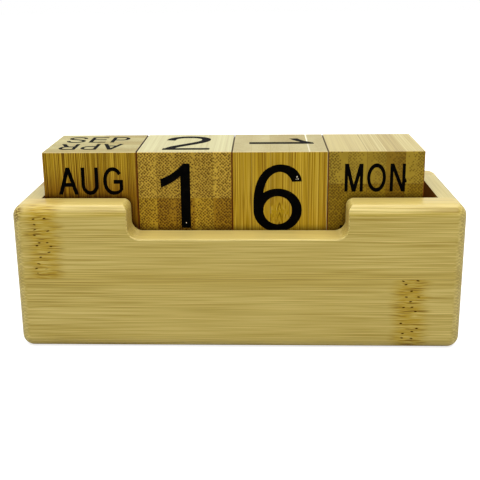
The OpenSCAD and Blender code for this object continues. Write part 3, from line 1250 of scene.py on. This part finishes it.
for cube, faces in WORD_FACES.items():
    for face, words in faces.items():
        lines = TOP_MONTH_LINES if (cube, face) == ("month", "top") else WORD_LINES[cube]
        shapes = []
        for word, line, turn in zip(words, lines, WORD_TURNS):
            shapes += word_shapes(word, *line, turn, WORD_STROKE)
        print_face(cube, face, shapes)
for cube, digits in DIGIT_FACES.items():
    for face, digit in digits.items():
        height, foot = DIGIT_SIZE.get(digit, PLAIN_DIGIT)
        turn, middle = DIGIT_PLACES.get((cube, face), (0, 0))
        print_face(cube, face, word_shapes(digit, height, FAR, middle, foot, turn, DIGIT_STROKE))


# Floor, light and camera, with lengths in millimetres and angles in degrees

FLOOR_SIDE = 6000.0
# How far the floor lies below the part, how pale it is, and its glow to the camera, which grows outwards
FLOOR_DROP = 0.05
FLOOR_GREY = 0.55
GLOW_REACH = (100.0, 400.0)
GLOW_STRENGTH = (0.25, 0.75)
# Strength of the surroundings as light, and the directions from which they show in reflections
AMBIENT = 0.18
MIRRORED_FROM = (-0.2, 0.5)
WHITE = (1.0, 1.0, 1.0, 1.0)
LIT_POINT = (0, 0, 30)
# Camera: its place, and its turns about the upright, from looking straight down, and about its own view
CAMERA_AT = (8.3632, -285.3480, 121.1326)
CAMERA_TURNS = ((2.3396, "Z"), (74.0342, "X"), (-0.6991, "Z"))
CAMERA_LENS = 61.633
CAMERA_SENSOR = 36.0
CAMERA_SHIFT = (0.02, -0.05)
CAMERA_NEAR = 10.0


def white_floor():
    """White floor that shows white to the camera and keeps the object's shadow."""
    mesh = bpy.data.meshes.new("floor")
    half = FLOOR_SIDE / 2 * MM
    corners = [(-half, -half, 0), (half, -half, 0), (half, half, 0), (-half, half, 0)]
    mesh.from_pydata(corners, [], [(0, 1, 2, 3)])
    floor = new_object("floor", mesh)
    floor.location.z = -FLOOR_DROP * MM
    material, s = new_material("white_floor")
    paper = s.add("ShaderNodeBsdfDiffuse", {"Color": rgba([FLOOR_GREY] * 3)})[0]
    away = s.measure("LENGTH", s.vector_math("MULTIPLY", s.place(), (1.0, 1.0, 0.0)))
    glowing = s.scaled(s.rise(away, *GLOW_REACH), *GLOW_STRENGTH)
    shown = s.times(s.add("ShaderNodeLightPath")["Is Camera Ray"], glowing)
    glow = s.add("ShaderNodeEmission", {"Color": WHITE, "Strength": shown})[0]
    both = s.add("ShaderNodeAddShader", {0: paper, 1: glow})[0]
    s.add("ShaderNodeOutputMaterial", {"Surface": both})
    mesh.materials.append(material)


def studio_world():
    """Even dim surroundings that show as white to the camera, and in reflections of what lies behind."""
    world = bpy.data.worlds.new("studio")
    world.use_nodes = True
    world.node_tree.nodes.clear()
    s = Shader(world.node_tree)
    seen = s.add("ShaderNodeLightPath")
    direction = s.add("ShaderNodeTexCoord")["Generated"]
    behind = s.rise(s.parts(direction)[1], *MIRRORED_FROM)
    mirrored = s.times(seen["Is Glossy Ray"], behind)
    plain = s.times(s.invert(seen["Is Glossy Ray"]), AMBIENT)
    strength = s.fold("MAXIMUM", seen["Is Camera Ray"], mirrored, seen["Is Transmission Ray"], plain)
    sky = s.add("ShaderNodeBackground", {"Color": WHITE, "Strength": strength})[0]
    s.add("ShaderNodeOutputWorld", {"Surface": sky})
    bpy.context.scene.world = world


def soft_light(name, place, size, radiance, glossy):
    """Square softbox that sends the given radiance to the object, and shows in reflections if glossy."""
    lamp = bpy.data.lights.new(name, "AREA")
    lamp.shape = "SQUARE"
    lamp.size = size * MM
    lamp.energy = radiance * math.pi * lamp.size ** 2
    holder = new_object(name, lamp)
    holder.location = Vector(place) * MM
    aim = Vector(LIT_POINT) - Vector(place)
    holder.rotation_euler = aim.to_track_quat("-Z", "Y").to_euler()
    holder.visible_camera = False
    holder.visible_glossy = glossy


def photo_camera():
    data = bpy.data.cameras.new("photo_camera")
    data.lens = CAMERA_LENS
    data.sensor_width = CAMERA_SENSOR
    data.shift_x, data.shift_y = CAMERA_SHIFT
    data.clip_start = CAMERA_NEAR * MM
    camera = new_object("photo_camera", data)
    pose = Matrix.Translation(Vector(CAMERA_AT) * MM)
    for angle, axis in CAMERA_TURNS:
        pose = pose @ Matrix.Rotation(math.radians(angle), 4, axis)
    camera.matrix_world = pose
    bpy.context.scene.camera = camera


white_floor()
studio_world()
soft_light("overhead", place=(0, -200, 900), size=1500, radiance=2.5, glossy=True)
soft_light("front_fill", place=(-150, -900, 420), size=700, radiance=0.15, glossy=False)
photo_camera()
bpy.context.scene.view_settings.view_transform = "Standard"
